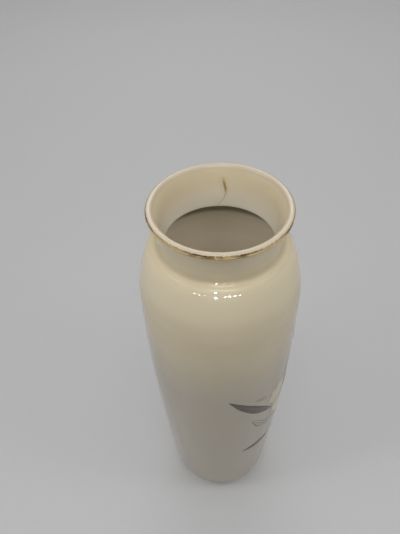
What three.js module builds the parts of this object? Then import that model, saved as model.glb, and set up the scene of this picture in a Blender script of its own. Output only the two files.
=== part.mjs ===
// A tall porcelain flower vase: one slip-cast body with a rolled lip and a foot ring,
// a gilt band fired on the lip, and a floral spray of flat enamel patches on one side.
// Millimetres, +Z up. The origin is the centre of the foot, on the plane the vase stands on.
// The front of the vase faces -Y, and the floral spray is centred near the +X side.

import * as THREE from 'three';

// Driving dimensions of the ware
const HEIGHT = 254;             // table to the crest of the lip
const LIP_RADIUS = 38;          // widest circle of the rolled lip
const LIP_BEAD = 1.85;          // radius of the roll itself
const NECK_RADIUS = 34.3;       // where the shoulder turns up into the neck
const NECK_HEIGHT = 231.5;
const THROAT_RADIUS = 30;       // narrowest circle of the inside
const THROAT_HEIGHT = 229.8;
const SHOULDER_RADIUS = 46.2;   // widest circle of the body
const SHOULDER_HEIGHT = 198;
const HEEL_RADIUS = 34.7;       // where the wall starts to round in to the foot
const HEEL_HEIGHT = 12.9;
const FOOT_RADIUS = 26;         // outer and inner edge of the foot ring
const FOOT_INNER_RADIUS = 22;
const FOOT_RECESS = 2.8;        // height of the glazed underside above the table
const WALL = 3.7;               // even thickness that slip casting leaves
const RADIAL_STEPS = 60;

// Gilding and enamel: modelled thicker than fired gold or colour, so that they are sound solids
const GILT_GAP = 0.05;
const GILT_THICKNESS = 0.25;
const GILT_FROM = -36;          // degrees round the roll, 0 at its widest, 90 at its crest
const GILT_TO = 42;
const ENAMEL_GAP = 0.15;
const ENAMEL_THICKNESS = 0.25;
const SPRAY_AZIMUTH = 80;       // degrees from the front, towards +X
const SPRAY_HEIGHT = 118;       // centre of the open flower above the table

const radians = THREE.MathUtils.degToRad;
const point = (r, z) => new THREE.Vector2(r, z);
const curve = (a, b, c, d) =>
  new THREE.CubicBezierCurve(point(...a), point(...b), point(...c), point(...d));

const finish = {
  porcelain: { color: 0xcbbf9f, roughness: 0.12, metalness: 0 },
  gold: { color: 0xb98b45, roughness: 0.22, metalness: 1 },
  petal: { color: 0xd8c99a, roughness: 0.25, metalness: 0 },
  budPetal: { color: 0xa79da0, roughness: 0.25, metalness: 0 },
  stamen: { color: 0xb98d3c, roughness: 0.3, metalness: 0 },
  leaf: { color: 0x565444, roughness: 0.25, metalness: 0 },
  paleLeaf: { color: 0x8d8f7c, roughness: 0.25, metalness: 0 },
  stem: { color: 0x6d6a4e, roughness: 0.25, metalness: 0 },
};

const vase = new THREE.Group();

function add(name, geometry, look) {
  const mesh = new THREE.Mesh(geometry, new THREE.MeshStandardMaterial(finish[look]));
  mesh.name = name;
  vase.add(mesh);
}

// ---- Ware -------------------------------------------------------------------------------

// Outside of the wall, foot to lip. The neck meets the shoulder in a small hollow fillet.
const FILLET = 2;
const heel = curve([FOOT_RADIUS, 0], [FOOT_RADIUS + 2.2, 1.3],
  [HEEL_RADIUS - 0.5, HEEL_HEIGHT - 4], [HEEL_RADIUS, HEEL_HEIGHT]);
const belly = curve([HEEL_RADIUS, HEEL_HEIGHT], [HEEL_RADIUS + 7, HEEL_HEIGHT + 54],
  [SHOULDER_RADIUS, SHOULDER_HEIGHT - 56], [SHOULDER_RADIUS, SHOULDER_HEIGHT]);
const shoulder = curve([SHOULDER_RADIUS, SHOULDER_HEIGHT], [SHOULDER_RADIUS, SHOULDER_HEIGHT + 6],
  [NECK_RADIUS + 8, NECK_HEIGHT - 2.6], [NECK_RADIUS + FILLET, NECK_HEIGHT - 0.65]);
const fillet = new THREE.QuadraticBezierCurve(shoulder.v3, point(NECK_RADIUS, NECK_HEIGHT),
  point(NECK_RADIUS - 0.3, NECK_HEIGHT + FILLET));
const lipCentre = point(LIP_RADIUS - LIP_BEAD, HEIGHT - LIP_BEAD);
const lipPoint = (degrees, radius = LIP_BEAD) =>
  point(radius * Math.cos(radians(degrees)), radius * Math.sin(radians(degrees))).add(lipCentre);
const LIP_FROM = -78;           // degrees round the roll where the neck runs into it
const LIP_TO = 132;             // and where the funnel of the neck's inside begins
const neckEnd = lipPoint(LIP_FROM);
const neck = curve([fillet.v2.x, fillet.v2.y], [NECK_RADIUS - 0.5, NECK_HEIGHT + 7],
  [neckEnd.x - 1.7, neckEnd.y - 4], [neckEnd.x, neckEnd.y]);

function arc(fromDegrees, toDegrees, steps, radius) {
  return Array.from({ length: steps + 1 }, (_, i) =>
    lipPoint(fromDegrees + ((toDegrees - fromDegrees) * i) / steps, radius));
}

// The inside of the wall follows the outside at one even thickness.
function inset(outside, steps) {
  return outside.getPoints(steps).map((p, i) => {
    const tangent = outside.getTangent(i / steps);
    return point(p.x - WALL * tangent.y, p.y + WALL * tangent.x);
  });
}

function wareOutline() {
  const outside = [heel, belly, shoulder, fillet, neck]
    .flatMap((part, i) => part.getPoints([5, 12, 7, 2, 4][i]).slice(0, -1));
  const wallInside = [heel, belly, shoulder]
    .flatMap((part, i) => inset(part, [4, 9, 7][i]).slice(i ? 1 : 2))
    .reverse();
  const funnelTop = lipPoint(LIP_TO);
  const neckInside = curve([funnelTop.x, funnelTop.y], [funnelTop.x - 2.3, funnelTop.y - 1.9],
    [THROAT_RADIUS, THROAT_HEIGHT + 11], [THROAT_RADIUS, THROAT_HEIGHT]).getPoints(7).slice(1);
  const floor = FOOT_RECESS + WALL;
  const corner = wallInside[wallInside.length - 1];
  return [
    point(0, FOOT_RECESS + 0.6),
    point(FOOT_INNER_RADIUS - 2, FOOT_RECESS),
    point(FOOT_INNER_RADIUS, 0),
    ...outside,
    ...arc(LIP_FROM, LIP_TO, 10),
    ...neckInside,
    ...wallInside,
    point(corner.x - 4, floor + 0.5),
    point(corner.x - 9, floor),
    point(0, floor),
  ];
}

// LatheGeometry turns its outline about Y, so the result is stood up onto Z.
function lathe(outline) {
  return new THREE.LatheGeometry(outline, RADIAL_STEPS).rotateX(Math.PI / 2);
}

add('porcelain_body', lathe(wareOutline()), 'porcelain');

function giltOutline() {
  const inner = LIP_BEAD + GILT_GAP;
  const over = arc(GILT_FROM, GILT_TO, 4, inner + GILT_THICKNESS);
  const under = arc(GILT_TO, GILT_FROM, 4, inner);
  return [...over, ...under, over[0].clone()];
}

add('gilt_lip_band', lathe(giltOutline()), 'gold');

// ---- Floral spray -----------------------------------------------------------------------

// The spray is drawn flat, x millimetres round the wall and y millimetres up from the centre of
// the open flower, and each patch is then wrapped onto the wall.

const BELLY_SAMPLES = belly.getPoints(200);

function wallRadius(height) {
  const i = BELLY_SAMPLES.findIndex((p) => p.y >= height);
  const [low, high] = [BELLY_SAMPLES[i - 1], BELLY_SAMPLES[i]];
  return low.x + ((high.x - low.x) * (height - low.y)) / (high.y - low.y);
}

function onWall(x, y, standOff) {
  const z = SPRAY_HEIGHT + y;
  const r = wallRadius(z);
  const angle = radians(SPRAY_AZIMUTH) + x / r;
  return [(r + standOff) * Math.sin(angle), -(r + standOff) * Math.cos(angle), z];
}

// One closed patch along a spine: a grid of rows and columns on its outer face, the same grid on
// its inner face, and a wall round the edge. width(t) is the half width from start 0 to tip 1.
// reach(s) is how much of the spine's length the patch covers at s, from -1 to 1 across it.
const MAX_STEP = 4.6;           // keeps the flat facets of a patch clear of the round wall

function patchGeometry(spine, width, reach) {
  const rows = Math.max(4, Math.ceil(spine.getLength() / MAX_STEP));
  const widest = Math.max(...Array.from({ length: 21 }, (_, i) => width(i / 20)));
  const columns = 2 * Math.max(1, Math.ceil(widest / MAX_STEP));
  const positions = [];
  for (const standOff of [ENAMEL_GAP, ENAMEL_GAP + ENAMEL_THICKNESS]) {
    for (let i = 0; i <= rows; i += 1) {
      for (let j = 0; j <= columns; j += 1) {
        const s = (2 * j) / columns - 1;
        const t = (i / rows) * reach(s);
        const middle = spine.getPointAt(t);
        const along = spine.getTangentAt(t);
        const across = width(i / rows) * s;
        positions.push(...onWall(middle.x - across * along.y, middle.y + across * along.x, standOff));
      }
    }
  }
  const perFace = (rows + 1) * (columns + 1);
  const at = (face, i, j) => face * perFace + i * (columns + 1) + j;
  const indices = [];
  const quad = (a, b, c, d) => indices.push(a, b, c, a, c, d);
  for (let i = 0; i < rows; i += 1) {
    for (let j = 0; j < columns; j += 1) {
      quad(at(1, i, j), at(1, i + 1, j), at(1, i + 1, j + 1), at(1, i, j + 1));
      quad(at(0, i, j), at(0, i, j + 1), at(0, i + 1, j + 1), at(0, i + 1, j));
    }
    quad(at(0, i, 0), at(0, i + 1, 0), at(1, i + 1, 0), at(1, i, 0));
    quad(at(0, i + 1, columns), at(0, i, columns), at(1, i, columns), at(1, i + 1, columns));
  }
  for (let j = 0; j < columns; j += 1) {
    quad(at(0, 0, j + 1), at(0, 0, j), at(1, 0, j), at(1, 0, j + 1));
    quad(at(0, rows, j), at(0, rows, j + 1), at(1, rows, j + 1), at(1, rows, j));
  }
  const geometry = new THREE.BufferGeometry();
  geometry.setAttribute('position', new THREE.Float32BufferAttribute(positions, 3));
  geometry.setIndex(indices);
  return geometry;
}

function addPatch(name, spinePoints, width, look, reach = () => 1) {
  const spine = new THREE.SplineCurve(spinePoints.map((p) => point(...p)));
  add(name, patchGeometry(spine, width, reach), look);
}

// Half widths: a leaf tapers to both ends, a petal is broad with a rounded end, a stem is even.
const TIP = 0.3;
const leafWidth = (half) => (t) => TIP + half * Math.sin(Math.PI * t ** 0.9) ** 0.9;
const petalWidth = (half) => (t) =>
  half * (0.16 + 0.84 * Math.sin(0.8 * Math.PI * t ** 1.15) ** 0.85);
const petalReach = (s) => 1 - 0.2 * Math.abs(s) ** 2.4;
const stemWidth = (half) => (t) => half * (1 - 0.4 * t);

// Five petals round the open flower: direction in degrees, length and half width.
const FLOWER = point(-4, 0);
const PETAL_START = 5.5;
const petals = [
  [85, 19, 9.4],
  [157, 22, 9.8],
  [229, 21, 9.8],
  [301, 20, 9.4],
  [13, 21, 9.8],
];
petals.forEach(([direction, length, half], i) => {
  const outward = point(Math.cos(radians(direction)), Math.sin(radians(direction)));
  const at = (distance) => outward.clone().multiplyScalar(distance).add(FLOWER).toArray();
  addPatch(`petal_${i + 1}`, [at(PETAL_START), at(PETAL_START + length)], petalWidth(half), 'petal',
    petalReach);
});

const CENTRE_RADIUS = 4;
const discWidth = (t) => TIP + CENTRE_RADIUS * Math.sqrt(Math.max(0, 1 - (2 * t - 1) ** 2));
addPatch('flower_centre', [[FLOWER.x, -CENTRE_RADIUS], [FLOWER.x, CENTRE_RADIUS]],
  discWidth, 'stamen');

const BUD_PETAL = 2.6;
addPatch('bud_petal_left', [[-2.6, 41.6], [-4.4, 47], [-2, 53]], leafWidth(BUD_PETAL), 'budPetal');
addPatch('bud_petal_middle', [[0.6, 42], [1.6, 49], [4.4, 56]], leafWidth(BUD_PETAL), 'budPetal');
addPatch('bud_petal_right', [[3.6, 41], [8, 45], [10.6, 52]], leafWidth(BUD_PETAL), 'budPetal');
addPatch('bud_calyx', [[-2, 36.4], [0, 40.4]], (t) => 0.7 + 1.8 * t, 'leaf');
addPatch('small_bud', [[14.6, -48.6], [18, -47.4], [22.5, -44.6]], leafWidth(2), 'budPetal');

// Leaves: name, spine from base to tip, half width and colour
const leaves = [
  ['leaf_long_left', [[-25.5, -7], [-43, 7.8], [-59.4, 23]], 3.2, 'leaf'],
  ['leaf_sliver_left', [[-34, 12.8], [-37.5, 15.2], [-42, 16]], 1.3, 'paleLeaf'],
  ['leaf_curled_left', [[-19, -25.5], [-32, -19], [-41.4, -8]], 2.6, 'paleLeaf'],
  ['leaf_narrow_low', [[-19, -49], [-30.5, -48.6], [-42.4, -50.4]], 2.6, 'leaf'],
  ['leaf_long_right', [[19.5, -9.5], [35, -3], [50, 11]], 4.2, 'leaf'],
  ['leaf_broad_right', [[12.5, -27], [27, -31.5], [41, -31]], 4, 'paleLeaf'],
  ['leaf_small_high', [[12.5, 21], [18.5, 27.5], [25, 37]], 2.4, 'paleLeaf'],
];
leaves.forEach(([name, spine, half, look]) => addPatch(name, spine, leafWidth(half), look));

// Stems: name, spine and half width
const stems = [
  ['stem_main', [[-6.5, -24.5], [-3, -42], [-8, -63]], 0.8],
  ['stem_bud', [[-13.2, 19.5], [-13.9, 28], [-2.8, 35.4]], 0.6],
  ['stem_left', [[-5.4, -37], [-11, -31.6], [-17.8, -27.6]], 0.5],
  ['stem_right', [[-1.8, -45], [6, -49.6], [13.8, -49]], 0.5],
];
stems.forEach(([name, spine, half]) => addPatch(name, spine, stemWidth(half), 'stem'));

export default vase;
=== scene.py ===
import math

import bpy
import numpy as np
from mathutils import Matrix, Vector


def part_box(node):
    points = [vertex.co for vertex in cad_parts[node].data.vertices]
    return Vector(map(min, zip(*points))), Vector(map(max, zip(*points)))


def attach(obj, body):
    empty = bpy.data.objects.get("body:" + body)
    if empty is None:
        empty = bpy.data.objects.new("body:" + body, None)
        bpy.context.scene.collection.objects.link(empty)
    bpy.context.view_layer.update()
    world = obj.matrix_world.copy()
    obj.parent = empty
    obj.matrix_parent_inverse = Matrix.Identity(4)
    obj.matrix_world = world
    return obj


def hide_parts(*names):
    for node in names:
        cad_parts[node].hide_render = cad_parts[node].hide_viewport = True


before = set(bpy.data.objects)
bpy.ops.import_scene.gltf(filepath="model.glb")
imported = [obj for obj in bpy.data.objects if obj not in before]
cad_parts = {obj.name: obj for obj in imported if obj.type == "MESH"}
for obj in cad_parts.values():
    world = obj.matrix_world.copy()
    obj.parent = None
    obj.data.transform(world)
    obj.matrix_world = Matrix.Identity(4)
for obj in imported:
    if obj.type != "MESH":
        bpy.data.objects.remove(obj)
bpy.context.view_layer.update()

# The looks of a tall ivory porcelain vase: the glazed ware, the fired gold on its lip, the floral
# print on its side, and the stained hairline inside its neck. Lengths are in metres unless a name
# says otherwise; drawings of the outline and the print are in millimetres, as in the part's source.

ware_low, ware_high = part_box("porcelain_body")

MM = 0.001

# Driving dimensions, mm, as in the part's source
HEIGHT = ware_high.z / MM
SHOULDER_RADIUS = ware_high.x / MM
SHOULDER_HEIGHT = 198
LIP_RADIUS = 38
LIP_BEAD = 1.85
GILT_FROM = -36
GILT_TO = 42
NECK_RADIUS = 34.3
NECK_HEIGHT = 231.5
THROAT_RADIUS = 30
THROAT_HEIGHT = 229.8
HEEL_RADIUS = 34.7
HEEL_HEIGHT = 12.9
FOOT_RADIUS = 26
FOOT_INNER_RADIUS = 22
FOOT_RECESS = 2.8
FOOT_EDGE = 0.6
FILLET = 2
WALL = 3.7

SEGMENTS = 192
SPRAY_AZIMUTH = math.radians(80)
SPRAY_HEIGHT = 118


# ---- Small tools ------------------------------------------------------------------------

def bezier(points, steps):
    """Points on the Bezier curve of these control points, ends included."""
    t = np.linspace(0, 1, steps + 1)[:, None]
    rows = [np.asarray(p, float)[None, :] * np.ones_like(t) for p in points]
    while len(rows) > 1:
        rows = [a * (1 - t) + b * t for a, b in zip(rows, rows[1:])]
    return rows[0]


def tangents(points):
    """Unit directions along a sampled curve."""
    d = np.gradient(points, axis=0)
    return d / np.linalg.norm(d, axis=1)[:, None]


def inset(points, distance):
    """The curve moved to its left, which is into the wall when it runs foot to lip."""
    d = tangents(points)
    return points + distance * np.stack([-d[:, 1], d[:, 0]], axis=1)


def lip_arc(start, end, steps, radius=LIP_BEAD):
    """Points on the roll of the lip, in degrees: 0 at its widest circle, 90 at its crest."""
    a = np.radians(np.linspace(start, end, steps + 1))
    centre = np.array([LIP_RADIUS - LIP_BEAD, HEIGHT - LIP_BEAD])
    return centre + radius * np.stack([np.cos(a), np.sin(a)], axis=1)


def out_of_round(angle, z):
    """How far, in mm, the fired ware strays from a true circle at an angle and height."""
    twist = 0.004 * z
    oval = 0.10 * np.sin(2 * angle + 0.7 + twist)
    lobes = 0.05 * np.sin(3 * angle + 2.1 - 1.7 * twist)
    waves = 0.03 * np.sin(5 * angle + 0.06 * z)
    return (oval + lobes + waves) * np.clip(z / 20, 0, 1)


def place(angle, r, z):
    """A point of the ware in metres. Angle 0 is the front, -Y, and it grows towards +X."""
    r = r + out_of_round(angle, z) * np.clip(r / 20, 0, 1)
    return np.stack([r * np.sin(angle), -r * np.cos(angle), z * np.ones_like(angle)], axis=-1) * MM


def mesh_object(name, vertices, faces, smooth=True):
    mesh = bpy.data.meshes.new(name)
    mesh.from_pydata([tuple(v) for v in vertices], [], faces)
    mesh.validate()
    mesh.update()
    if smooth:
        mesh.shade_smooth()
    piece = bpy.data.objects.new(name, mesh)
    bpy.context.scene.collection.objects.link(piece)
    return piece


def merged(pieces):
    """One piece from several."""
    first = pieces[0]
    with bpy.context.temp_override(active_object=first, selected_editable_objects=pieces):
        bpy.ops.object.join()
    return first


def keep(piece, slot, *nodes):
    """Hangs a finished piece under the root body and hides the part's nodes that it replaces."""
    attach(piece, "root")
    if nodes:
        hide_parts(*nodes)


# ---- Camera -----------------------------------------------------------------------------

CAMERA_AT = Vector((-0.0111, -0.2149, 0.4206))
CAMERA_PITCH = math.radians(44.38)
CAMERA_ROLL = math.radians(-2.0)
LENS_MM = 36.3


def make_camera():
    data = bpy.data.cameras.new("camera")
    data.lens = LENS_MM
    data.sensor_width = 36
    camera = bpy.data.objects.new("camera", data)
    tilt = Matrix.Rotation(math.pi / 2 - CAMERA_PITCH, 4, "X")
    roll = Matrix.Rotation(CAMERA_ROLL, 4, "Z")
    camera.matrix_world = Matrix.Translation(CAMERA_AT) @ tilt @ roll
    bpy.context.scene.collection.objects.link(camera)
    bpy.context.scene.camera = camera


make_camera()


# ---- Materials --------------------------------------------------------------------------

class Nodes:
    """A node tree under construction. Each call adds a node and returns its output."""

    def __init__(self, tree):
        self.tree = tree

    def node(self, kind, inputs=(), **settings):
        node = self.tree.nodes.new(kind)
        for key, value in settings.items():
            setattr(node, key, value)
        for key, value in dict(inputs).items():
            self.set(node.inputs[key], value)
        return node

    def set(self, socket, value):
        if isinstance(value, bpy.types.NodeSocket):
            self.tree.links.new(value, socket)
        elif isinstance(value, (tuple, list)) and len(value) == 3 and socket.type == "RGBA":
            socket.default_value = (*value, 1)
        else:
            socket.default_value = value

    def math(self, operation, a, b=0.0, c=0.0):
        return self.node("ShaderNodeMath", {0: a, 1: b, 2: c}, operation=operation).outputs[0]

    def times(self, *factors):
        product = factors[0]
        for factor in factors[1:]:
            product = self.math("MULTIPLY", product, factor)
        return product

    def mix(self, factor, a, b):
        node = self.node("ShaderNodeMix", data_type="RGBA")
        for socket, value in zip((node.inputs[0], node.inputs[6], node.inputs[7]), (factor, a, b)):
            self.set(socket, value)
        return node.outputs[2]

    def ramp(self, value, low, high, to_low=0.0, to_high=1.0):
        """Smooth step of value from low..high to to_low..to_high."""
        return self.node(
            "ShaderNodeMapRange",
            {0: value, 1: low, 2: high, 3: to_low, 4: to_high},
            interpolation_type="SMOOTHSTEP",
        ).outputs[0]

    def split(self, vector):
        return self.node("ShaderNodeSeparateXYZ", {0: vector}).outputs


class Paint(Nodes):
    """A material under construction."""

    def __init__(self, name):
        self.material = bpy.data.materials.new(name)
        self.material.use_nodes = True
        super().__init__(self.material.node_tree)
        self.shader = self.tree.nodes["Principled BSDF"]

    def finish(self, **sockets):
        for key, value in sockets.items():
            self.set(self.shader.inputs[key.replace("_", " ")], value)
        return self.material

    def attribute(self, name):
        return self.node("ShaderNodeAttribute", attribute_name=name).outputs["Fac"]

    def where(self, stretch=(1, 1, 1)):
        """Object coordinates in metres, stretched."""
        at = self.node("ShaderNodeTexCoord").outputs["Object"]
        return self.node("ShaderNodeVectorMath", {0: at, 1: stretch}, operation="MULTIPLY").outputs[0]

    def noise(self, scale, detail=2.0, stretch=(1, 1, 1), offset=0.0):
        at = self.where(stretch)
        if offset:
            at = self.node("ShaderNodeVectorMath", {0: at, 1: (offset,) * 3}).outputs[0]
        return self.node("ShaderNodeTexNoise", {"Vector": at, "Scale": scale, "Detail": detail}).outputs[0]

    def print_place(self):
        """How far along a printed patch, 0 to 1, and across it, -1 to 1."""
        u, v, _ = self.split(self.node("ShaderNodeUVMap", uv_map="print").outputs[0])
        return u, self.math("MULTIPLY_ADD", v, 2.0, -1.0)

    def print_mm(self, along=1.0, across=1.0):
        """Millimetres along and across a patch, stretched, as a vector for a texture."""
        at = self.node("ShaderNodeUVMap", uv_map="print_mm").outputs[0]
        return self.node(
            "ShaderNodeVectorMath", {0: at, 1: (along, across, 1)}, operation="MULTIPLY"
        ).outputs[0]

    def grain(self, along, across, detail=2.0):
        """Noise in the patch's own directions: features per millimetre along and across."""
        vector = self.print_mm(along, across)
        return self.node(
            "ShaderNodeTexNoise", {"Vector": vector, "Scale": 1.0, "Detail": detail}
        ).outputs[0]

    def bump(self, height, distance):
        return self.node("ShaderNodeBump", {"Height": height, "Distance": distance}).outputs[0]


# Tints of the ware, linear RGB
IVORY = (0.80, 0.69, 0.48)
IVORY_WARM = (0.77, 0.655, 0.435)
IVORY_PALE = (0.82, 0.73, 0.54)
# Painted light: the paler ivory of the band on the shoulder
SHOULDER_PAINTED_LIGHT = (0.90, 0.79, 0.56)
# Painted shade: the greyer ivory of the lower body, where less light falls
LOW_PAINTED_SHADE = (0.57, 0.51, 0.41)
IVORY_INSIDE = (0.86, 0.81, 0.70)
# Painted shade: a darker ivory on the crest of the lip, which faces the lamps
LIP_PAINTED_SHADE = (0.67, 0.575, 0.425)
# Painted light: a paler ivory deep inside, where the light through the mouth falls
DEEP_PAINTED_LIGHT = (0.93, 0.85, 0.70)
# A darker, warmer ivory for the crease at the foot of the neck
NECK_CREASE_TINT = (0.60, 0.49, 0.29)
THROAT_SHADE = (0.22, 0.19, 0.13)
IRON_SPECK = (0.25, 0.17, 0.09)


def ivory_colour(paint):
    """Warm ivory with broad clouds, faint rings from the mould and a few tiny iron specks."""
    clouds = paint.ramp(paint.noise(22, 3), 0.35, 0.7)
    rings = paint.ramp(paint.noise(30, 2, (0.25, 0.25, 4), 3.0), 0.35, 0.7, 0, 0.25)
    colour = paint.mix(clouds, IVORY, IVORY_WARM)
    colour = paint.mix(rings, colour, IVORY_PALE)
    cells = paint.node("ShaderNodeTexVoronoi", {"Vector": paint.where(), "Scale": 210.0})
    rare = paint.ramp(paint.split(cells.outputs["Color"])[0], 0.93, 0.95)
    speck = paint.times(paint.ramp(cells.outputs["Distance"], 0.05, 0.09, 0.35, 0), rare)
    return paint.mix(speck, colour, IRON_SPECK)


def glazed(paint, colour):
    """The clear glossy coat, with the slow ripples of a dipped glaze."""
    ripples = paint.math("ADD", paint.noise(95, 1), paint.math("MULTIPLY", paint.noise(420, 1), 0.12))
    return paint.finish(
        Base_Color=colour,
        Roughness=paint.ramp(paint.noise(60, 4, offset=7.0), 0.3, 0.75, 0.05, 0.10),
        IOR=1.52,
        Normal=paint.bump(ripples, 0.00006),
    )


def ware_colour(paint):
    """Ivory whose tint follows the height: painted shade makes it greyer low down and darker on the crest
    of the lip, painted light makes a paler band on the shoulder, and it is darker and warmer in the
    crease at the foot of the neck; inside it is greyer too, with a painted shaded ring just below the
    edge of the throat and painted light making it paler deeper down."""
    inside = paint.attribute("inside")
    outside = paint.math("SUBTRACT", 1.0, inside)
    z = paint.math("MULTIPLY", paint.split(paint.where())[2], 1 / MM)
    # painted shade: greyer from the shoulder down towards the foot
    low = paint.ramp(z, SHOULDER_HEIGHT, SPRAY_HEIGHT + 17)
    # painted light: a paler band on the shoulder, fading out at the foot of the neck
    shoulder_light = paint.times(
        paint.ramp(z, SHOULDER_HEIGHT + 6, SHOULDER_HEIGHT + 19, 0, 0.9),
        paint.ramp(z, NECK_HEIGHT - 2.5, NECK_HEIGHT + 1.5, 1, 0),
    )
    # darker and warmer in the crease at the foot of the neck, on the outside only
    neck_crease = paint.times(
        outside,
        paint.ramp(z, NECK_HEIGHT - 4, NECK_HEIGHT, 0, 0.35),
        paint.ramp(z, NECK_HEIGHT + 1, NECK_HEIGHT + 6, 1, 0),
    )
    shaded = paint.times(
        inside,
        paint.ramp(z, THROAT_HEIGHT - 13, THROAT_HEIGHT - 8.6, 0, 0.78),
        paint.ramp(z, THROAT_HEIGHT - 0.8, THROAT_HEIGHT - 3.8),
    )
    # painted light: paler deeper inside, below the shaded ring
    deep_light = paint.times(inside, paint.ramp(z, THROAT_HEIGHT - 13.8, THROAT_HEIGHT - 19.8))
    colour = paint.mix(low, ivory_colour(paint), LOW_PAINTED_SHADE)
    colour = paint.mix(shoulder_light, colour, SHOULDER_PAINTED_LIGHT)
    colour = paint.mix(inside, colour, IVORY_INSIDE)
    # painted shade: darker on the crest of the lip
    colour = paint.mix(paint.ramp(z, HEIGHT - 2.5, HEIGHT - 1), colour, LIP_PAINTED_SHADE)
    colour = paint.mix(shaded, colour, THROAT_SHADE)
    colour = paint.mix(deep_light, colour, DEEP_PAINTED_LIGHT)
    return paint.mix(neck_crease, colour, NECK_CREASE_TINT)


def glaze_material():
    paint = Paint("ivory_glaze")
    return glazed(paint, ware_colour(paint))


def stain_material():
    """Ware colour crossed by a brown streak, darkest along its middle and low down."""
    paint = Paint("stained_glaze")
    along, across = paint.print_place()
    edge = paint.math("ABSOLUTE", across)
    edge = paint.math("ADD", edge, paint.ramp(paint.noise(700, 3), 0.2, 0.8, -0.15, 0.15))
    ends = paint.ramp(along, 0.72, 0.98, 1, 0)
    halo = paint.times(ends, paint.ramp(edge, 0.1, 0.85, 0.45, 0), paint.ramp(along, 0.0, 0.25))
    core = paint.times(ends, paint.ramp(edge, 0.0, 0.34, 0.8, 0), paint.ramp(along, 0.1, 0.5))
    colour = paint.mix(halo, ware_colour(paint), (0.55, 0.41, 0.15))
    colour = paint.mix(core, colour, (0.27, 0.165, 0.05))
    return glazed(paint, colour)


def hairline_material():
    """A crack in the glaze that has taken in tea-coloured dirt."""
    paint = Paint("hairline_dirt")
    depth = paint.ramp(paint.noise(1500, 3), 0.35, 0.65)
    return paint.finish(
        Base_Color=paint.mix(depth, (0.46, 0.39, 0.26), (0.60, 0.53, 0.38)), Roughness=0.5
    )


def bisque_material():
    """Bare fired clay where the foot ring was wiped clean of glaze."""
    paint = Paint("foot_bisque")
    grime = paint.ramp(paint.noise(160, 5), 0.45, 0.75)
    colour = paint.mix(grime, (0.66, 0.60, 0.48), (0.42, 0.36, 0.27))
    return paint.finish(
        Base_Color=colour, Roughness=0.75, Normal=paint.bump(paint.noise(1800, 4), 0.00004)
    )


def gold_material():
    """Fired gold: fine brush streaks, bright and dark blotches that are painted reflections, thin brown
    edges, the lower one a painted reflection of the shaded neck, and an upper edge worn to flecks.
    """
    paint = Paint("fired_gold")
    across = paint.attribute("across")
    streaks = paint.noise(260, 3, (1, 1, 14))
    # painted reflections: bright and dark blotches in the gold's colour, standing in for the room it mirrors
    painted_reflections = paint.ramp(paint.noise(60, 3, offset=23.0), 0.44, 0.56)
    colour = paint.mix(painted_reflections, (1.0, 0.75, 0.39), (0.38, 0.25, 0.11))
    ragged = paint.math("ADD", across, paint.math("MULTIPLY", paint.noise(900, 3, offset=2.0), 0.35))
    # Dark edges: the ragged upper one where the gold thins, the lower one a painted reflection of the shaded
    # neck
    thin = paint.math("MAXIMUM", paint.ramp(ragged, 1.0, 1.12), paint.ramp(across, 0.32, 0.12))
    colour = paint.mix(paint.math("MULTIPLY", thin, 0.85), colour, (0.11, 0.058, 0.024))
    worn = paint.ramp(paint.noise(700, 4, offset=5.0), 0.66, 0.72)
    flecks = paint.times(paint.ramp(ragged, 1.0, 1.12), paint.ramp(paint.noise(1100, 2), 0.55, 0.61))
    worn = paint.math("MAXIMUM", worn, flecks)
    colour = paint.mix(worn, colour, IVORY)
    return paint.finish(
        Base_Color=colour,
        Metallic=paint.math("SUBTRACT", 1.0, worn),
        Roughness=paint.ramp(streaks, 0.3, 0.7, 0.14, 0.30),
        Normal=paint.bump(streaks, 0.00002),
    )


# ---- Ware -------------------------------------------------------------------------------

heel = bezier([
    (FOOT_RADIUS, FOOT_EDGE * 0.6), (FOOT_RADIUS + 2.2, 1.6),
    (HEEL_RADIUS - 0.5, HEEL_HEIGHT - 4), (HEEL_RADIUS, HEEL_HEIGHT),
], 18)
belly = bezier([
    (HEEL_RADIUS, HEEL_HEIGHT), (HEEL_RADIUS + 7, HEEL_HEIGHT + 54),
    (SHOULDER_RADIUS, SHOULDER_HEIGHT - 56), (SHOULDER_RADIUS, SHOULDER_HEIGHT),
], 48)
shoulder = bezier([
    (SHOULDER_RADIUS, SHOULDER_HEIGHT), (SHOULDER_RADIUS, SHOULDER_HEIGHT + 6),
    (NECK_RADIUS + 8, NECK_HEIGHT - 2.6), (NECK_RADIUS + FILLET, NECK_HEIGHT - 0.65),
], 30)
fillet = bezier([
    shoulder[-1], (NECK_RADIUS, NECK_HEIGHT), (NECK_RADIUS - 0.3, NECK_HEIGHT + FILLET),
], 10)
neck_end = lip_arc(-78, 0, 1)[0]
neck = bezier([
    fillet[-1], (NECK_RADIUS - 0.5, NECK_HEIGHT + 7), neck_end - (1.7, 4), neck_end,
], 16)


# Inside of the neck: a funnel from the roll of the lip down to the narrowest circle
funnel_top = lip_arc(132, 180, 1)[0]
neck_inside = bezier([
    funnel_top, funnel_top - (2.3, 1.9), (THROAT_RADIUS, THROAT_HEIGHT + 11),
    (THROAT_RADIUS, THROAT_HEIGHT),
], 26)


def joined(*curves):
    """Curves end to end, with each shared end kept once."""
    return np.concatenate([c if i == 0 else c[1:] for i, c in enumerate(curves)])


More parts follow.
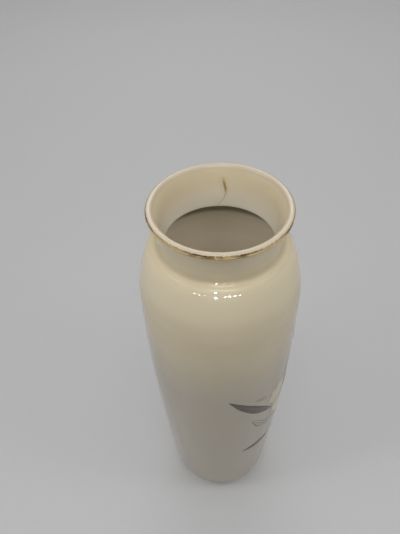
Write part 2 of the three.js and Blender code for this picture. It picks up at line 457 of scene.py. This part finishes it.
def ware_outline():
    """The whole section, from the middle of the underside to the middle of the inner floor."""
    floor = FOOT_RECESS + WALL
    wall_inside = inset(joined(heel[10:], belly[1:], shoulder[1:]), WALL)[::-1]
    corner = wall_inside[-1]
    throat = neck_inside[-1]
    throat_edge = bezier([throat, throat - (0, 1), throat + (1.2, -1.5), wall_inside[0]], 10)
    inner_floor = bezier([corner, (corner[0] - 1.2, floor + 0.4), (corner[0] - 6, floor), (0, floor)], 14)
    underside = bezier([(0, FOOT_RECESS + 0.6), (12, FOOT_RECESS + 0.6),
                        (FOOT_INNER_RADIUS - 2.6, FOOT_RECESS + 0.2),
                        (FOOT_INNER_RADIUS - 1, FOOT_RECESS - 1)], 10)
    ring = np.array([
        (FOOT_INNER_RADIUS, FOOT_EDGE), (FOOT_INNER_RADIUS + 0.2, FOOT_EDGE * 0.3),
        (FOOT_INNER_RADIUS + FOOT_EDGE, 0), (FOOT_RADIUS - FOOT_EDGE, 0),
        (FOOT_RADIUS - 0.2, FOOT_EDGE * 0.15),
    ])
    outside = joined(heel, belly, shoulder, fillet, neck, lip_arc(-78, 132, 30))
    inside = joined(neck_inside, throat_edge, wall_inside, inner_floor)
    return np.concatenate([underside, ring, outside, inside[1:]])


def turned(name, outline):
    """A body turned from an outline that starts and ends on the axis."""
    angles = np.linspace(0, 2 * math.pi, SEGMENTS, endpoint=False)
    rows = [place(angles, r, z) for r, z in outline[1:-1]]
    faces = []
    for i in range(len(rows) - 1):
        low, high = i * SEGMENTS, (i + 1) * SEGMENTS
        for j in range(SEGMENTS):
            k = (j + 1) % SEGMENTS
            faces.append((low + j, low + k, high + k, high + j))
    bottom = len(rows) * SEGMENTS
    top = bottom + 1
    last = bottom - SEGMENTS
    for j in range(SEGMENTS):
        k = (j + 1) % SEGMENTS
        faces.append((bottom, k, j))
        faces.append((top, last + j, last + k))
    ends = [(0, 0, outline[0][1] * MM), (0, 0, outline[-1][1] * MM)]
    return mesh_object(name, list(np.concatenate(rows)) + ends, faces)


def inside_share(z):
    """How far inside the neck a height is: 0 near the lip, 1 from the throat down."""
    return np.clip((HEIGHT - 8 - z) / (HEIGHT - 8 - NECK_HEIGHT), 0, 1)


def mark_inside(ware, outline):
    """Writes that share on the ware's points, and 0 on everything before the crest of the lip."""
    crest = int(np.argmax(outline[:, 1]))
    share = inside_share(outline[:, 1])
    share[:crest] = 0
    marks = np.concatenate([np.repeat(share[1:-1], SEGMENTS), [0, 1]])
    attribute = ware.data.attributes.new("inside", "FLOAT", "POINT")
    attribute.data.foreach_set("value", marks.astype(np.float32))


def make_ware():
    outline = ware_outline()
    ware = turned("glazed_ware", outline)
    mark_inside(ware, outline)
    ware.data.materials.append(glaze_material())
    ware.data.materials.append(bisque_material())
    ring_low = (FOOT_INNER_RADIUS - 0.2) * MM
    for face in ware.data.polygons:
        r = math.hypot(face.center.x, face.center.y)
        if face.center.z < FOOT_EDGE * 0.5 * MM and r > ring_low:
            face.material_index = 1
    keep(ware, "ivory_glaze", "porcelain_body")


def make_gilding():
    """The gold line, whose brushed edges wander a little round the lip."""
    gap, film = 0.01, 0.06
    angles = np.linspace(0, 2 * math.pi, SEGMENTS, endpoint=False)
    low, high = GILT_FROM, GILT_TO
    low = low + 3 * np.sin(3 * angles + 1) + 2 * np.sin(11 * angles) + 1.2 * np.sin(29 * angles + 2)
    high = high + 2 * np.sin(2 * angles + 4) + 2 * np.sin(9 * angles + 1) + 1.2 * np.sin(31 * angles)
    steps = 10
    shares = list(np.linspace(0, 1, steps + 1))
    path = [(s, gap + film * (1 if 0 < i < steps else 0.5)) for i, s in enumerate(shares)]
    path += [(s, gap) for s in reversed(shares)]
    rows = []
    for share, lift in path:
        a = np.radians(low + (high - low) * share)
        r = LIP_RADIUS - LIP_BEAD + (LIP_BEAD + lift) * np.cos(a)
        z = HEIGHT - LIP_BEAD + (LIP_BEAD + lift) * np.sin(a)
        rows.append(np.stack([place(angles[j:j + 1], r[j], z[j])[0] for j in range(SEGMENTS)]))
    faces = []
    for i in range(len(rows)):
        a, b = i * SEGMENTS, ((i + 1) % len(rows)) * SEGMENTS
        faces += [(a + j, a + (j + 1) % SEGMENTS, b + (j + 1) % SEGMENTS, b + j) for j in range(SEGMENTS)]
    gilding = mesh_object("lip_gilding", np.concatenate(rows), faces)
    across = np.repeat([share for share, _ in path], SEGMENTS)
    attribute = gilding.data.attributes.new("across", "FLOAT", "POINT")
    attribute.data.foreach_set("value", across.astype(np.float32))
    gilding.data.materials.append(gold_material())
    keep(gilding, "fired_gold", "gilt_lip_band")


make_ware()
make_gilding()


# ---- Print and marks --------------------------------------------------------------------
# The spray is drawn flat, x mm round the wall and y mm up from the middle of the open flower.

STAND_OFF = 0.03
FILM = 0.04
LAYER = 0.05
TIP = 0.3
# Each patch takes its grain this many millimetres further on, so that no two look alike
GRAIN_APART = 17.0
FLOWER = np.array([-4.0, 0.0])


def on_wall(x, y, lift):
    z = SPRAY_HEIGHT + y
    r = np.interp(z, belly[:, 1], belly[:, 0])
    return place(SPRAY_AZIMUTH + x / r, r + lift, z)


def on_neck(x, z, lift):
    """Inside the neck at the back: x mm to the right as seen from the front, z above the table."""
    r = np.interp(z, neck_inside[::-1, 1], neck_inside[::-1, 0]) - lift
    return place(math.pi - x / r, r, z)


def film(name, shape, surface, material, layer=0, rows=48, columns=12):
    """A thin closed sheet on a surface. shape(t, s) gives x and y in mm for t 0..1 along and
    s -1..1 across. UV map "print" holds t and s, and "print_mm" the same in millimetres."""
    t, s = np.meshgrid(np.linspace(0, 1, rows + 1), np.linspace(-1, 1, columns + 1), indexing="ij")
    x, y = shape(t, s)
    lift = STAND_OFF + layer * LAYER
    top, under = surface(x, y, lift + FILM), surface(x, y, lift)
    n = t.size
    at = np.arange(n).reshape(t.shape)
    below = at + n
    faces = []
    for i in range(rows):
        for j in range(columns):
            faces.append((at[i, j], at[i + 1, j], at[i + 1, j + 1], at[i, j + 1]))
            faces.append((below[i, j], below[i, j + 1], below[i + 1, j + 1], below[i + 1, j]))
        faces.append((at[i, 0], below[i, 0], below[i + 1, 0], at[i + 1, 0]))
        faces.append((at[i, -1], at[i + 1, -1], below[i + 1, -1], below[i, -1]))
    for j in range(columns):
        faces.append((at[0, j], at[0, j + 1], below[0, j + 1], below[0, j]))
        faces.append((at[-1, j + 1], at[-1, j], below[-1, j], below[-1, j + 1]))
    faces = [tuple(int(v) for v in face) for face in faces]
    piece = mesh_object(name, np.concatenate([top.reshape(-1, 3), under.reshape(-1, 3)]), faces)
    for face in piece.data.polygons:
        face.use_smooth = len({v < n for v in face.vertices}) == 1
    middle = columns // 2
    steps = np.hypot(np.diff(x[:, middle]), np.diff(y[:, middle]))
    along = np.concatenate([[0], np.cumsum(steps)])[:, None] + np.zeros_like(s)
    across = np.sign(s) * np.hypot(x - x[:, middle:middle + 1], y - y[:, middle:middle + 1])
    apart = GRAIN_APART * len(bpy.data.meshes)
    corner = np.empty(len(piece.data.loops), dtype=np.int32)
    piece.data.loops.foreach_get("vertex_index", corner)
    for label, u, v in (("print", t, (s + 1) / 2), ("print_mm", along + apart, across)):
        values = np.stack([u.ravel(), v.ravel()], axis=1)[corner % n]
        layer_data = piece.data.uv_layers.new(name=label)
        layer_data.data.foreach_set("uv", values.astype(np.float32).ravel())
    piece.data.materials.append(material)
    return piece


def smooth(points, steps=80):
    """A smooth curve through the points, sampled at even distances."""
    p = np.asarray(points, float)
    p = np.concatenate([p[:1], p, p[-1:]])
    t = np.linspace(0, 1, 40, endpoint=False)[:, None]
    arcs = [
        0.5 * (2 * b + (c - a) * t + (2 * a - 5 * b + 4 * c - d) * t ** 2 + (3 * b - a - 3 * c + d) * t ** 3)
        for a, b, c, d in zip(p, p[1:], p[2:], p[3:])
    ]
    fine = np.concatenate(arcs + [p[-1:]])
    length = np.concatenate([[0], np.cumsum(np.hypot(*np.diff(fine, axis=0).T))])
    at = np.linspace(0, length[-1], steps + 1)
    return np.stack([np.interp(at, length, fine[:, k]) for k in (0, 1)], axis=1)


def ribbon(spine, width, lean=0.0):
    """A shape along a spine. width(t, s) is its half width in mm; lean makes its left side wider."""
    middle = smooth(spine)
    way = tangents(middle)
    share = np.linspace(0, 1, len(middle))

    def shape(t, s):
        x, y, dx, dy = (np.interp(t, share, v) for v in (*middle.T, *way.T))
        across = width(t, s) * s * (1 + lean * s)
        return x - across * dy, y + across * dx

    return shape


def leaf_width(half, ripple=0.05, phase=0.0):
    def width(t, s):
        body = np.sin(np.pi * t ** 0.9) ** 0.9
        return TIP + half * body * (1 + ripple * np.sin(17 * t + phase + 1.3 * np.sign(s)))
    return width


def petal(direction, length, half, seed):
    """A broad petal from the flower's middle: t runs outwards, and its outer edge is ruffled."""
    out = np.array([math.cos(math.radians(direction)), math.sin(math.radians(direction))])
    side = np.array([-out[1], out[0]])

    def shape(t, s):
        ruffle = 0.030 * np.sin(6.5 * s + seed) + 0.018 * np.sin(13 * s + 2.1 * seed)
        notch = -0.10 * np.exp(-((s - 0.12 * math.sin(seed)) / 0.16) ** 2)
        reach = 1 - 0.20 * np.abs(s) ** 2.4 + (ruffle + notch) * t ** 2
        along = PETAL_START + length * t * reach
        swell = 0.16 + 0.84 * np.sin(np.pi * np.minimum(t, 1) ** 1.15 * 0.80) ** 0.85
        across = half * s * swell * (1 + 0.05 * np.sin(9 * t + seed * np.sign(s)))
        return (FLOWER[k] + along * out[k] + across * side[k] for k in (0, 1))

    return shape


PETAL_START = 4.2
PETALS = [(85, 20.6, 11.4), (157, 23.4, 11.8), (229, 22.4, 11.8), (301, 21.4, 11.4), (13, 22.4, 11.8)]
CENTRE_RADIUS = 4
BUD_PETAL = 2.6
STAMENS = 26


def coloured(paint, colour, roughness=0.14):
    """Colour fired on under the same coat as the ware."""
    ripples = paint.noise(95, 1)
    return paint.finish(
        Base_Color=colour, Roughness=roughness, IOR=1.52, Normal=paint.bump(ripples, 0.00006)
    )


def side_veins(paint, along, edge, count, slant, sharp=0.12):
    """Lines that leave the middle of a leaf at a slant, from 0 to 1."""
    phase = paint.math("SUBTRACT", paint.math("MULTIPLY", along, count), paint.math("MULTIPLY", edge, slant))
    wobble = paint.math("MULTIPLY", paint.grain(0.35, 0.35), 0.5)
    phase = paint.math("FRACT", paint.math("ADD", phase, wobble))
    off = paint.math("ABSOLUTE", paint.math("SUBTRACT", phase, 0.5))
    return paint.ramp(off, 0.0, sharp, 1, 0)


def leaf_material():
    paint = Paint("leaf_enamel")
    along, across = paint.print_place()
    edge = paint.math("ABSOLUTE", across)
    colour = paint.mix(
        paint.ramp(paint.grain(0.25, 0.7, 5), 0.35, 0.65), (0.075, 0.058, 0.030), (0.125, 0.100, 0.055)
    )
    colour = paint.mix(
        paint.math("MULTIPLY", paint.ramp(across, -0.15, 0.05, 1, 0), 0.35), colour, (0.13, 0.118, 0.078)
    )
    colour = paint.mix(paint.ramp(along, 0.7, 0.98, 0, 0.85), colour, (0.09, 0.135, 0.10))
    veins = side_veins(paint, along, edge, 9, 2.2)
    veins = paint.math("MULTIPLY", veins, paint.ramp(edge, 0.85, 0.3, 0, 0.34))
    colour = paint.mix(veins, colour, (0.20, 0.185, 0.125))
    rib = paint.math("MULTIPLY", paint.ramp(edge, 0.02, 0.10, 0.6, 0), paint.ramp(along, 0.95, 0.6))
    colour = paint.mix(rib, colour, (0.24, 0.22, 0.15))
    rim = paint.ramp(paint.math("ADD", edge, paint.math("MULTIPLY", paint.grain(0.8, 0.8), 0.2)), 0.9, 1.05)
    colour = paint.mix(paint.math("MULTIPLY", rim, 0.6), colour, (0.045, 0.040, 0.028))
    return coloured(paint, colour)


def pale_leaf_material():
    paint = Paint("pale_leaf_enamel")
    along, across = paint.print_place()
    edge = paint.math("ABSOLUTE", across)
    colour = paint.mix(
        paint.ramp(paint.grain(0.3, 0.6, 4), 0.35, 0.65), (0.49, 0.455, 0.345), (0.60, 0.55, 0.425)
    )
    colour = paint.mix(
        paint.math("MULTIPLY", paint.ramp(across, -0.1, 0.1), 0.4), colour, (0.33, 0.335, 0.25)
    )
    veins = side_veins(paint, along, edge, 8, 2.0)
    colour = paint.mix(paint.math("MULTIPLY", veins, 0.3), colour, (0.20, 0.19, 0.13))
    rib = paint.math("MULTIPLY", paint.ramp(edge, 0.02, 0.12, 0.7, 0), paint.ramp(along, 1.0, 0.7))
    colour = paint.mix(rib, colour, (0.17, 0.14, 0.09))
    rim = paint.ramp(paint.math("ADD", edge, paint.math("MULTIPLY", paint.grain(0.7, 0.7), 0.3)), 0.82, 1.02)
    colour = paint.mix(paint.math("MULTIPLY", rim, 0.85), colour, (0.15, 0.115, 0.07))
    return coloured(paint, colour)


def petal_material():
    """Ochre at the heart, cream and a touch of pink further out, grey in the folds and the rim."""
    paint = Paint("petal_enamel")
    along, across = paint.print_place()
    edge = paint.math("ABSOLUTE", across)
    blush = paint.ramp(paint.grain(0.09, 0.12, 3), 0.4, 0.62)
    colour = paint.mix(blush, (0.80, 0.72, 0.47), (0.80, 0.65, 0.49))
    colour = paint.mix(paint.ramp(along, 0.55, 0.12), colour, (0.66, 0.56, 0.24))
    colour = paint.mix(paint.ramp(along, 0.22, 0.02, 0, 0.8), colour, (0.45, 0.33, 0.10))
    fold = paint.ramp(across, -0.2, -0.85)
    fold = paint.math("MULTIPLY", fold, paint.ramp(paint.grain(0.15, 0.3, 3), 0.3, 0.6, 0.25, 0.65))
    colour = paint.mix(fold, colour, (0.44, 0.42, 0.34))
    place_uv = paint.node("ShaderNodeUVMap", uv_map="print").outputs[0]
    fan = paint.node("ShaderNodeVectorMath", {0: place_uv, 1: (1.6, 26, 1)}, operation="MULTIPLY")
    lines = paint.node(
        "ShaderNodeTexNoise", {"Vector": fan.outputs[0], "Scale": 1.0, "Detail": 3.0}
    ).outputs[0]
    lines = paint.math("MULTIPLY", paint.ramp(lines, 0.52, 0.66), paint.ramp(along, 1.0, 0.35, 0.12, 0.5))
    colour = paint.mix(lines, colour, (0.42, 0.38, 0.28))
    outer = paint.math("MAXIMUM", paint.ramp(edge, 0.86, 0.98), paint.ramp(along, 0.93, 0.99))
    outer = paint.math("MULTIPLY", outer, paint.ramp(paint.grain(0.5, 0.5, 3), 0.3, 0.6, 0.2, 0.6))
    colour = paint.mix(outer, colour, (0.40, 0.35, 0.27))
    return coloured(paint, colour)


def bud_material():
    paint = Paint("bud_enamel")
    along, across = paint.print_place()
    edge = paint.math("ABSOLUTE", across)
    streaks = paint.ramp(paint.grain(0.2, 1.6, 3), 0.38, 0.62)
    colour = paint.mix(streaks, (0.30, 0.262, 0.275), (0.60, 0.53, 0.50))
    colour = paint.mix(paint.ramp(along, 0.35, 0.0, 0, 0.7), colour, (0.33, 0.31, 0.20))
    colour = paint.mix(paint.ramp(edge, 0.7, 0.96, 0, 0.75), colour, (0.16, 0.135, 0.145))
    return coloured(paint, colour)


def stamen_material():
    paint = Paint("stamen_enamel")
    dots = paint.node("ShaderNodeTexVoronoi", {"Vector": paint.where(), "Scale": 1100.0}).outputs["Distance"]
    colour = paint.mix(paint.ramp(dots, 0.25, 0.5), (0.62, 0.40, 0.08), (0.22, 0.12, 0.035))
    colour = paint.mix(paint.ramp(paint.noise(500, 3), 0.45, 0.65, 0, 0.6), colour, (0.36, 0.34, 0.12))
    return coloured(paint, colour)


def stem_material(name, dark, light):
    paint = Paint(name)
    along, across = paint.print_place()
    colour = paint.mix(paint.ramp(paint.grain(0.4, 1.2, 3), 0.35, 0.65), dark, light)
    lit = paint.ramp(across, 0.1, 0.6, 0, 0.5)
    colour = paint.mix(lit, colour, tuple(min(1, 2.2 * c) for c in light))
    return coloured(paint, colour)


# Leaves: CAD node, spine from base to tip, half width, lean, phase of the rippled edge
DARK_LEAVES = [
    ("leaf_long_left", [(-25.5, -7), (-43, 7.8), (-59.4, 23)], 3.2, 0.05, 0.0),
    ("leaf_narrow_low", [(-19, -49), (-30.5, -48.6), (-42.4, -50.4)], 2.6, 0.1, 2.0),
    ("leaf_long_right", [(19.5, -9.5), (35, -3), (50, 11)], 4.2, -0.08, 4.0),
]
PALE_LEAVES = [
    ("leaf_sliver_left", [(-33, 12.4), (-37.2, 15.2), (-42, 16)], 1.3, 0, 1.0),
    ("leaf_curled_left", [(-19, -25.5), (-32, -19), (-41.4, -8)], 2.6, 0.15, 3.0),
    ("leaf_broad_right", [(12.5, -27), (27, -31.5), (41, -31)], 4, -0.08, 5.0),
    ("leaf_small_high", [(12.5, 21), (18.5, 27.5), (25, 37)], 2.4, 0.1, 0.5),
]
BUDS = [
    ("bud_petal_left", [(-2.6, 41.6), (-4.4, 47), (-2, 53)], BUD_PETAL, 0.1),
    ("bud_petal_middle", [(0.6, 42), (1.6, 49), (4.4, 56)], BUD_PETAL, 0.0),
    ("bud_petal_right", [(3.6, 41), (8, 45), (10.6, 52)], BUD_PETAL, -0.1),
    ("small_bud", [(14.6, -48.6), (18, -47.4), (22.5, -44.6)], 2, 0.1),
]
STEMS = [
    ("stem_main", [(-6.5, -24.5), (-3, -42), (-8, -63)], 0.8),
    ("stem_left", [(-5.4, -37), (-11, -31.6), (-17.8, -27.6)], 0.5),
    ("stem_right", [(-1.8, -45), (6, -49.6), (13.8, -49)], 0.5),
]


def printed(node, slot, shape, material, layer=0, rows=48, columns=12):
    piece = film(f"{node}_print", shape, on_wall, material, layer, rows, columns)
    keep(piece, slot, node)


def make_leaves():
    dark, pale = leaf_material(), pale_leaf_material()
    for node, spine, half, lean, phase in DARK_LEAVES:
        printed(node, "leaf_enamel", ribbon(spine, leaf_width(half, 0.05, phase), lean), dark)
    for node, spine, half, lean, phase in PALE_LEAVES:
        printed(node, "pale_leaf_enamel", ribbon(spine, leaf_width(half, 0.08, phase), lean), pale)
    calyx = ribbon([(-2, 36.4), (0, 40.4)], lambda t, s: 0.7 + 2.2 * t - 0.5 * t * np.cos(9 * s))
    printed("bud_calyx", "leaf_enamel", calyx, dark, 1, 16)


def make_buds():
    material = bud_material()
    for i, (node, spine, half, lean) in enumerate(BUDS):
        shape = ribbon(spine, leaf_width(half, 0.04, i), lean)
        printed(node, "bud_enamel", shape, material, 2 if node == "bud_petal_middle" else 0)


def make_stems():
    green = stem_material("stem_enamel", (0.13, 0.115, 0.06), (0.24, 0.22, 0.13))
    mauve = stem_material("bud_stem_enamel", (0.15, 0.135, 0.14), (0.27, 0.245, 0.25))
    for node, spine, half in STEMS:
        width = lambda t, s, half=half: half * (1 - 0.4 * t) * (1 + 0.12 * np.sin(31 * t))
        printed(node, "stem_enamel", ribbon(spine, width), green, 0, 48, 4)
    width = lambda t, s: 0.6 * (1 - 0.4 * t)
    stem = ribbon([(-13.2, 19.5), (-13.9, 28), (-2.8, 35.4)], width)
    printed("stem_bud", "stem_enamel", stem, mauve, 0, 40, 4)


def disc(centre, radius):
    def shape(t, s):
        height = 2 * t - 1
        return (
            centre[0] + radius * s * np.sqrt(np.maximum(0.004, 1 - height ** 2)),
            centre[1] + radius * height,
        )
    return shape


def make_flower():
    material = petal_material()
    for i, (direction, length, half) in enumerate(PETALS):
        shape = petal(direction, length, half, 1.9 * i + 0.6)
        printed(f"petal_{i + 1}", "petal_enamel", shape, material, i, 56, 28)
    stamens = stamen_material()
    over = len(PETALS)
    printed("flower_centre", "stamen_enamel", disc(FLOWER, CENTRE_RADIUS), stamens, over, 24, 24)
    strokes = []
    for i in range(STAMENS):
        angle = 2 * math.pi * i / STAMENS + 0.12 * math.sin(5.1 * i)
        reach = CENTRE_RADIUS + 1.2 + 1.6 * abs(math.sin(2.7 * i))
        out = np.array([math.cos(angle), math.sin(angle)])
        tip = FLOWER + reach * out
        base = FLOWER + (CENTRE_RADIUS - 0.6) * out
        thread = ribbon([base, tip], lambda t, s: 0.09 + 0 * t)
        dot = disc(tip, 0.34 + 0.1 * math.sin(3.3 * i))
        strokes.append(film("stamens", thread, on_wall, stamens, over + 1, 6, 2))
        strokes.append(film("stamens", dot, on_wall, stamens, over + 1, 8, 8))
    keep(merged(strokes), "stamen_enamel")


def make_stain():
    """Brown stain inside the back of the neck, and the hairline crack it came through."""
    round_ends = lambda t, s: 0.2 + 2.4 * np.sin(np.pi * t) ** 0.4
    streak = ribbon([(3.1, 249.4), (3.7, 245.4), (4.7, 241), (4.6, 236.6)], round_ends)
    stain = film("stain_streak", streak, on_neck, stain_material(), 0, 40, 16)
    height = np.array([v.co.z for v in stain.data.vertices]) / MM
    attribute = stain.data.attributes.new("inside", "FLOAT", "POINT")
    attribute.data.foreach_set("value", inside_share(height).astype(np.float32))
    keep(stain, "ivory_glaze")
    crack = ribbon(
        [(4.75, 239.6), (4.5, 237.6), (4.0, 235.8), (2.9, 233.4), (1.3, 231.6), (0.5, 230.2)],
        lambda t, s: 0.16 * (1 - 0.5 * t) * (1 + 0.3 * np.sin(40 * t)),
    )
    keep(film("hairline", crack, on_neck, hairline_material(), 1, 60, 2), "ivory_glaze")


make_leaves()
make_stems()
make_buds()
make_flower()
make_stain()


# ---- Stage ------------------------------------------------------------------------------
# A plain pale floor under the soft panels of a light box.

FLOOR_SIZE = 12
FLOOR_TONE = (0.68, 0.68, 0.687)


def make_stage():
    """A plain pale sheet, big enough to reach past every view."""
    half = FLOOR_SIZE / 2
    corners = [(-half, -half, 0), (half, -half, 0), (half, half, 0), (-half, half, 0)]
    floor = mesh_object("floor", corners, [(0, 1, 2, 3)], smooth=False)
    floor.location.z = -0.0002
    paint = Paint("pale_floor")
    floor.data.materials.append(paint.finish(Base_Color=FLOOR_TONE, Roughness=0.8))


def area_light(name, at, size, power, towards):
    data = bpy.data.lights.new(name, "AREA")
    data.shape = "RECTANGLE"
    data.size, data.size_y = size
    data.energy = power
    light = bpy.data.objects.new(name, data)
    light.location = at
    light.rotation_euler = (Vector(towards) - Vector(at)).to_track_quat("-Z", "Y").to_euler()
    light.visible_camera = False
    bpy.context.scene.collection.objects.link(light)
    return light


# Lamps of the light box: place, size, watts and where each one points
LAMPS = {
    "panel": ((0, 0, 4), (12, 12), 227, (0, 0, 0)),
    "front_high": ((0, -0.66, 1.36), (0.6, 0.4), 1.7, (0, 0, 0.2)),
    "front": ((0, -0.5, 0.9), (0.6, 0.3), 0.42, (0, 0, 0.2)),
    "back_ceiling": ((0, 0.9, 0.95), (1.0, 0.4), 2.2, (0, 0.45, 0)),
}
# These come in pairs, left and right, the left one a little stronger
LEFT_SHARE = 0.12
SIDE_LAMPS = {
    "wall": ((0.55, -0.1, 0.75), (0.3, 0.4), 0.29, (0, 0, 0.2)),
    "strip": ((0.2, -0.1, 0.42), (0.05, 0.2), 0.14, (0, 0, 0.2)),
}
# Bare diodes that show only as points of light on the shoulder: a curved row of evenly spaced
# ones in two groups, and a larger pair, one above the other. Degrees round the vase from the
# front, metres from its axis and above the table, width in metres, watts.
DIODE_STEP = 6
DIODE_ROW = [-34 + DIODE_STEP * i for i in range(3)] + [3 + DIODE_STEP * i for i in range(4)]
DIODES = [(angle, 0.20, 0.27, 0.007, 0.00007) for angle in DIODE_ROW]
DIODES += [(-8, 0.20, 0.26, 0.012, 0.0005), (-9, 0.25, 0.40, 0.016, 0.001)]
DIODE_BEAM = math.radians(11)
SHOULDER_POINT = (0, -0.039, 0.226)
# Brightness of the walls that the camera and the reflections see
ROOM_SEEN = 0.45


def make_lights():
    for name, lamp in LAMPS.items():
        area_light(name, *lamp)
    for name, (at, size, power, towards) in SIDE_LAMPS.items():
        for side in (-1, 1):
            share = power * (1 - LEFT_SHARE * side)
            lamp = area_light(f"{name}_{side}", (side * at[0], *at[1:]), size, share, towards)
            lamp.visible_glossy = name != "strip"
    for i, (angle, distance, height, width, power) in enumerate(DIODES):
        turn = math.radians(angle)
        at = (distance * math.sin(turn), -distance * math.cos(turn), height)
        diode = area_light(f"diode_{i + 1}", at, (width, 2 * width), power, SHOULDER_POINT)
        diode.data.spread = DIODE_BEAM
        diode.visible_diffuse = False
    bpy.context.scene.view_settings.view_transform = "Standard"


def make_room():
    """What the camera and the reflections see past the floor: pale walls, and in front the dark
    opening of the light box with something pale in its middle."""
    world = bpy.data.worlds.new("room")
    world.use_nodes = True
    room = Nodes(world.node_tree)
    seen_by = room.node("ShaderNodeLightPath").outputs
    x, y, z = room.split(room.node("ShaderNodeTexCoord").outputs["Generated"])
    aside = room.math("ABSOLUTE", room.math("ARCTAN2", x, room.math("MULTIPLY", y, -1.0)))
    opening = room.times(
        room.ramp(aside, 0.28, 0.45), room.ramp(aside, 1.0, 0.85), room.ramp(z, 0.65, 0.45, 0, 0.92)
    )
    reflected = room.times(room.math("SUBTRACT", 1.0, opening), seen_by["Is Glossy Ray"])
    strength = room.math("MAXIMUM", seen_by["Is Camera Ray"], reflected)
    background = world.node_tree.nodes["Background"]
    room.set(background.inputs["Strength"], room.math("MULTIPLY", strength, ROOM_SEEN))
    room.set(background.inputs["Color"], (1, 1, 1.01))
    bpy.context.scene.world = world


make_stage()
make_lights()
make_room()
